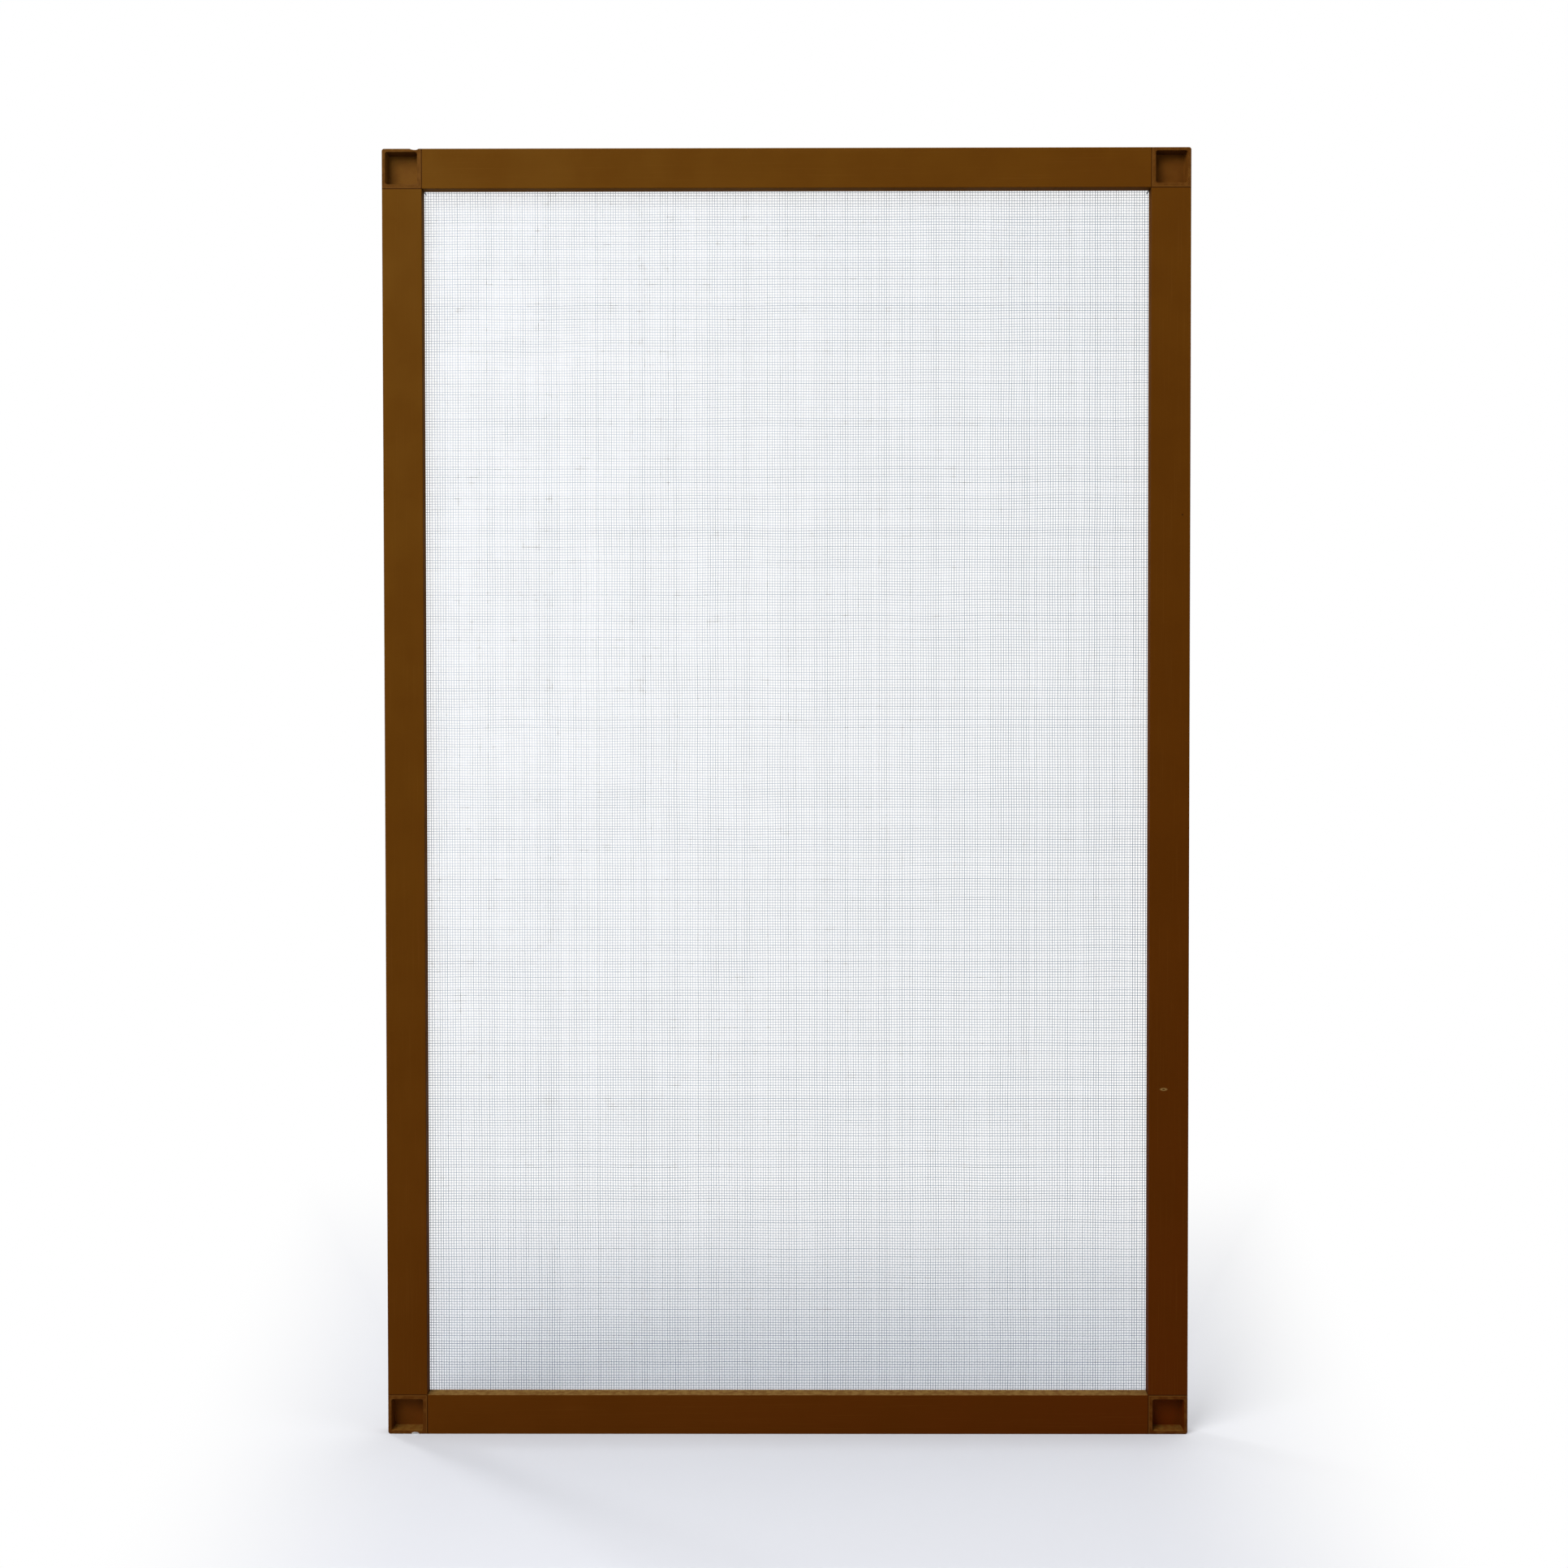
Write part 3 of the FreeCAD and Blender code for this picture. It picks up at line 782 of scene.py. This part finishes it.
    def cut_ends(self, count: int = 6, nodes: int = 9) -> np.ndarray:
        """Lines of the few thread ends that stand out of the grooves at the two upper corners.

        Each end starts in the corner between the two lips, just before the mesh, and leans down
        and inwards by 1.5 to 2.4 mm, sagging by the square of how far it has come.

        Args:
            count: Ends in each corner.
            nodes: Points on each line.

        Returns:
            The lines, as (threads, nodes, 3).
        """
        random = np.random.default_rng(SEED + 1)
        far = np.linspace(0, 1, nodes)[None, :]
        tufts = []
        for way in (-1, 1):
            reach = random.uniform(1.5, 2.4, (count, 1)) * MM
            lean = np.radians(45 + random.uniform(-14, 14, (count, 1)))
            inward = 0.3 * MM * random.random((count, 1)) + reach * np.cos(lean) * far
            drop = 0.3 * MM * random.random((count, 1)) + reach * (np.sin(lean) * far + 0.12 * far ** 2)
            before = 0.5 * MM + random.uniform(0, 0.5, (count, 1)) * MM * (1 + far)
            tufts.append(np.stack([way * (self.opening.half - inward), self.middle_y - before,
                                   self.opening.head - drop], axis=-1))
        return np.concatenate(tufts)

    def thread_piece(self, name: str, lines: np.ndarray, reference: tuple[float, float, float],
                     tone: np.ndarray, material: bpy.types.Material) -> bpy.types.Object:
        """Makes one piece of many threads, each with its own tone.

        Args:
            name: The piece's name.
            lines: The threads' lines.
            reference: A direction square to the threads' bends.
            tone: One number from 0 to 1 for each thread.
            material: The threads' finish.

        Returns:
            The piece.
        """
        radius = self.thread_radius * (1 + self.radius_spread * (0.5 - tone))
        points, quads, uv = swept(lines, np.array(reference), radius)
        piece = mesh_piece(name, points, quads, uv)
        layer = piece.data.attributes.new(TONE, "FLOAT", "POINT")
        layer.data.foreach_set("value", np.repeat(tone, len(points) // len(lines)).astype(np.float32))
        piece.data.materials.append(material)
        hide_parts("screen_mesh")
        log.info("%s: %d threads, %d faces", name, len(lines), len(piece.data.polygons))
        return piece

    def build(self) -> None:
        """Weaves the mesh."""
        thread = CoatedGlassThread("coated_glass_thread", "#567089", 0.34, 0.7).material()
        warp = self.thread_piece("mesh_warp", self.warp_lines(), (1, 0, 0), self.warp_tone, thread)
        weft = self.weft_lines()
        upright, level = self.tucked_lines()
        ends = self.cut_ends()
        panels = np.array_split(np.arange(self.weft_count), self.panels)
        woven = [(f"mesh_weft_{number + 1}", weft[rows], (0, 0, 1), self.weft_tone[rows])
                 for number, rows in enumerate(panels)]
        woven += [("mesh_tucked_uprights", upright, (1, 0, 0), np.resize(self.warp_tone, len(upright))),
                  ("mesh_tucked_levels", level, (0, 0, 1), np.resize(self.weft_tone, len(level))),
                  ("mesh_cut_ends", ends, (0, 1, 0), np.full(len(ends), 0.6))]
        parts = [self.thread_piece(*piece, thread) for piece in woven]


@dataclass
class RetainingCord:
    """One ribbed vinyl cord, rolled into a groove on top of the mesh."""

    node: str
    level: bool
    radius: float = 2.13 * MM
    rib: float = 0.22 * MM
    ribs: int = 12
    around: int = 48
    stations: int = 70
    # the ends draw in by a share of the radius over this last bit
    end: float = 0.5 * MM
    taper: float = 0.35
    # how far the roller let the cord rise and sink, and the two waves' lengths over a full turn
    wander: float = 0.05 * MM
    waves: tuple[float, float] = (31 * MM, 11.7 * MM)

    def build(self, material: bpy.types.Material, phase: float) -> None:
        """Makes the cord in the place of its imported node.

        A point's distance from the cord's middle is the radius less the rib's depth times a half
        of one minus the cosine of the ribs' count times its angle. The cord's height wanders by
        two slow sine waves, as a roller leaves it, and both ends draw in.

        Args:
            material: The cord's finish.
            phase: Where the slow waves start.
        """
        low, high = (np.array(corner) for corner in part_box(self.node))
        middle = (low + high) / 2
        way, other = (0, 2) if self.level else (2, 0)
        start, finish = low[way], high[way]
        near_end = np.array([0, 0.3, 1]) * self.end
        stations = np.concatenate([start + near_end, np.linspace(start + 2 * MM, finish - 2 * MM, self.stations),
                                   finish - near_end[::-1]])
        drawn_in = np.clip(1 - np.minimum(stations - start, finish - stations) / self.end, 0, 1)
        scale = 1 - self.taper * drawn_in ** 2
        # round the other way for a level cord, so that its faces look outwards too
        angle = (-1 if self.level else 1) * 2 * math.pi * np.arange(self.around) / self.around
        reach = self.radius - self.rib * (1 - np.cos(self.ribs * angle)) / 2
        rise = self.wander * sum(np.sin(stations / wave + turn * phase) for turn, wave in enumerate(self.waves, 1))
        points = np.zeros((len(stations), self.around, 3))
        points[..., way] = stations[:, None]
        points[..., 1] = middle[1] + rise[:, None] + scale[:, None] * reach * np.sin(angle)
        points[..., other] = middle[other] + scale[:, None] * reach * np.cos(angle)
        ends = middle[None, :].repeat(2, axis=0)
        ends[:, way] = start, finish
        ends[:, 1] += rise[[0, -1]]
        # the skin's quads, then a fan of triangles from each end's middle point
        station, step = np.meshgrid(np.arange(len(stations) - 1), np.arange(self.around), indexing="ij")
        first = station * self.around
        after = (step + 1) % self.around
        quads = np.stack([first + step, first + after, first + self.around + after, first + self.around + step],
                         axis=-1).reshape(-1, 4)
        ring = np.arange(self.around)
        turn = (ring + 1) % self.around
        count = len(stations) * self.around
        base = count - self.around
        first_hub, last_hub = np.full_like(ring, count), np.full_like(ring, count + 1)
        faces = np.concatenate([quads, np.stack([turn, ring, first_hub, first_hub], axis=1),
                                np.stack([base + ring, base + turn, last_hub, last_hub], axis=1)])
        piece = mesh_piece(self.node + "_ribbed", np.concatenate([points.reshape(-1, 3), ends]), faces)
        piece.data.materials.append(material)
        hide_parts(self.node)
        log.info("%s: ribbed cord %.0f mm long, %d faces", piece.name, (finish - start) / MM, len(faces))


# The studio


@dataclass(frozen=True)
class Lamp:
    """One square soft lamp: its place and the point it faces in metres, its side in metres, its power in watts."""

    name: str
    place: tuple[float, float, float]
    aim: tuple[float, float, float]
    size: float
    power: float

    def hang(self) -> None:
        """Hangs the lamp."""
        data = bpy.data.lights.new(self.name, "AREA")
        data.size = self.size
        data.energy = self.power
        lamp = bpy.data.objects.new(self.name, data)
        bpy.context.scene.collection.objects.link(lamp)
        lamp.location = self.place
        lamp.rotation_euler = (Vector(self.aim) - Vector(self.place)).to_track_quat("-Z", "Y").to_euler()
        log.info("%s: %.1f W", self.name, self.power)


@dataclass(frozen=True)
class Studio:
    """A pale floor that runs out to white, soft lamps before, behind, above and beside the frame, and the camera."""

    floor_colour: str = "#d5d6db"
    floor_half: float = 4.0
    # the paper's own shade shows in a strip, whose half width goes from one value to the other between
    # two places from front to back, in metres
    strip_y: tuple[float, float] = (-0.14, 0.86)
    strip_half: tuple[float, float] = (0.345, 0.46)
    # where that shade starts to run out, and where the floor is white: in shares of the strip's half
    # width, and in metres behind and before the frame
    fade_beside: tuple[float, float] = (0.56, 1.12)
    fade_behind: tuple[float, float] = (-0.1, 0.62)
    fade_before: tuple[float, float] = (-0.35, -0.8)
    # the world's soft light, and how much of its white shows in gloss
    fill: float = 0.22
    gloss: float = 0.22
    lamps: tuple[Lamp, ...] = (
        Lamp("key_lamp", (-0.85, -1.15, 1.55), (0.0, 0.0, 0.4), 1.1, 34.0),
        Lamp("back_lamp", (-1.42, 1.06, 1.3), (0.0, -0.1, 0.0), 0.35, 10.0),
        Lamp("top_lamp", (0.5, 0.3, 1.7), (0.4, 0.15, 0.0), 1.6, 13.0),
        Lamp("side_lamp", (0.65, -0.2, 1.15), (0.6, -0.15, 0.0), 0.6, 2.8),
    )
    # the camera's place in metres, its turn down, to the right and about its own axis in degrees, its
    # lens and sensor in mm, and its shift in shares of the picture
    eye: tuple[float, float, float] = (0.0027, -1.1567, 0.4851)
    turn: tuple[float, float, float] = (1.093, -0.222, -0.062)
    lens: float = 41.93
    sensor: float = 36.0
    shift: float = -0.05

    def white_seen(self, tree: bpy.types.NodeTree, in_gloss: Any) -> bpy.types.Node:
        """Adds which rays see plain white: the camera's, those through glass, and a share of those in gloss.

        Args:
            tree: The floor's or the world's node tree.
            in_gloss: How much of it shows in gloss.

        Returns:
            How much of the white a ray sees.
        """
        ray = add(tree, "LightPath")
        straight = add(tree, "Math", (ray.outputs["Is Camera Ray"], ray.outputs["Is Transmission Ray"]),
                       operation="MAXIMUM")
        mirrored = add(tree, "Math", (ray.outputs["Is Glossy Ray"], in_gloss), operation="MULTIPLY")
        return add(tree, "Math", (straight, mirrored), operation="MAXIMUM")

    def paper(self) -> bpy.types.Material:
        """Makes the paper's material: its own shade near the frame, running out to white all round.

        Returns:
            The material.
        """
        made = bpy.data.materials.new("studio_paper")
        made.use_nodes = True
        tree = made.node_tree
        tree.nodes.clear()
        place = add(tree, "TexCoord").outputs["Object"]
        fibre = add(tree, "TexNoise", {"Vector": place, "Scale": 1 / (2 * MM), "Detail": 3})
        bump = add(tree, "Bump", {"Height": fibre, "Strength": 0.1, "Distance": 0.1 * MM})
        matt = add(tree, "BsdfDiffuse", {"Color": linear(self.floor_colour), "Normal": bump})
        white = add(tree, "Emission", ((1, 1, 1, 1), 1.0))
        split = add(tree, "SeparateXYZ", (place,))
        strip = add(tree, "MapRange", (split.outputs["Y"], *self.strip_y, *self.strip_half))
        aside = add(tree, "Math", (split.outputs["X"],), operation="ABSOLUTE")
        share = add(tree, "Math", (aside, strip), operation="DIVIDE")
        away = add(tree, "MapRange", (share, *self.fade_beside), **SMOOTH)
        for fade in (self.fade_behind, self.fade_before):
            further = add(tree, "MapRange", (split.outputs["Y"], *fade), **SMOOTH)
            away = add(tree, "Math", (away, further), operation="MAXIMUM")
        factor = add(tree, "Math", (away, self.white_seen(tree, self.gloss)), operation="MULTIPLY")
        add(tree, "OutputMaterial", (add(tree, "MixShader", (factor, matt, white)),))
        return made

    def lay_floor(self, steps: int = 9) -> None:
        """Lays the paper floor.

        Args:
            steps: Points on each side of its grid.
        """
        side = np.linspace(-self.floor_half, self.floor_half, steps)
        x, y = np.meshgrid(side, side)
        points = np.stack([x, y, np.zeros_like(x)], axis=-1).reshape(-1, 3)
        row, column = np.meshgrid(np.arange(steps - 1), np.arange(steps - 1), indexing="ij")
        first = row * steps + column
        quads = np.stack([first, first + 1, first + steps + 1, first + steps], axis=-1).reshape(-1, 4)
        mesh = bpy.data.meshes.new("floor")
        mesh.from_pydata(points.tolist(), [], quads.tolist())
        mesh.materials.append(self.paper())
        floor = bpy.data.objects.new("floor", mesh)
        bpy.context.scene.collection.objects.link(floor)
        log.info("floor: %.0f m of pale paper", 2 * self.floor_half)

    def surround(self) -> None:
        """Sets the world: plain white behind the frame, a soft fill, and a dim room before the frame in gloss."""
        world = bpy.data.worlds.new("studio")
        bpy.context.scene.world = world
        world.use_nodes = True
        tree = world.node_tree
        tree.nodes.clear()
        soft = add(tree, "Background", ((0.96, 0.98, 1.0, 1), self.fill))
        white = add(tree, "Background", ((1, 1, 1, 1), 1.0))
        way = add(tree, "SeparateXYZ", (add(tree, "TexCoord").outputs["Generated"],))
        behind = add(tree, "MapRange", (way.outputs["Y"], -0.3, 0.3, 0, self.gloss))
        add(tree, "OutputWorld", (add(tree, "MixShader", (self.white_seen(tree, behind), soft, white)),))
        log.info("world: white background, fill %.2f", self.fill)

    def set_camera(self) -> None:
        """Sets the camera where the frame's corners land as in the photograph."""
        pitch, yaw, roll = (math.radians(angle) for angle in self.turn)
        ahead = Vector((math.sin(yaw) * math.cos(pitch), math.cos(yaw) * math.cos(pitch), -math.sin(pitch)))
        right = Vector((math.cos(yaw), -math.sin(yaw), 0))
        up = right.cross(ahead)
        right, up = (math.cos(roll) * right + math.sin(roll) * up, math.cos(roll) * up - math.sin(roll) * right)
        turned = Matrix((right, up, -ahead)).transposed().to_4x4()
        data = bpy.data.cameras.new("camera")
        data.lens = self.lens
        data.sensor_width = self.sensor
        data.shift_y = self.shift
        data.clip_start, data.clip_end = 0.05, 50.0
        camera = bpy.data.objects.new("camera", data)
        bpy.context.scene.collection.objects.link(camera)
        camera.matrix_world = Matrix.Translation(self.eye) @ turned
        bpy.context.scene.camera = camera

    def build(self) -> None:
        """Makes the camera, the floor, the world and the lamps."""
        self.set_camera()
        self.lay_floor()
        self.surround()
        for lamp in self.lamps:
            lamp.hang()
        bpy.context.scene.view_settings.view_transform = "Standard"


def main() -> None:
    """Builds the studio and dresses every part of the screen."""
    logging.basicConfig(level=logging.INFO, format="%(message)s")
    Studio().build()
    Rails().dress()
    Connectors().dress()
    WovenScreen(Opening.packed()).build()
    vinyl = SoftVinyl("soft_vinyl", "#1d1d1f", 0.6, 0.4).material()
    for number, side in enumerate(("bottom", "left", "top", "right")):
        RetainingCord("cord_" + side, side in ("bottom", "top")).build(vinyl, 1.7 * number)


if __name__ == "__main__":
    main()
